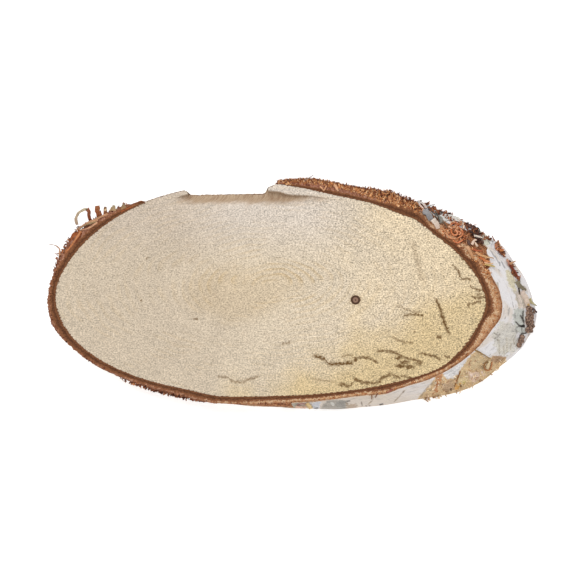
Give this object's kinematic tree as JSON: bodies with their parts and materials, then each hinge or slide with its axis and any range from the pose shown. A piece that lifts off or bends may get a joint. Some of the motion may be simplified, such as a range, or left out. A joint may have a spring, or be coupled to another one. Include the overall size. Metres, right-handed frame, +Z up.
{
  "type": "birch wood slice",
  "caption": "Thin oval slice sawn on a slant across a birch trunk, with ragged brown and white bark round its edge, for crafts or to stand things on.",
  "frame": {"origin": "under the middle of the slice's box, on the plane of its lower sawn face", "axes": "+X along the oval towards the end where the bark looks upward, +Y towards the broken rim, +Z up, square to both sawn faces"},
  "size_m": [0.2446, 0.1176, 0.0112],
  "materials": {
    "sawn_birch": "finely sawn, unsealed, with faint rings, a pin knot and a few dark spalt lines",
    "brown_bark": "rough and fibrous, dark brown bast with red-brown torn cork",
    "white_birch_paper": "chalky white papery bark with dark lenticels and tan inner sheets"
  },
  "bodies": {
    "root": {"wood": "sawn_birch", "inner_bark": "brown_bark", "outer_bark": "white_birch_paper"}
  },
  "joints": []
}
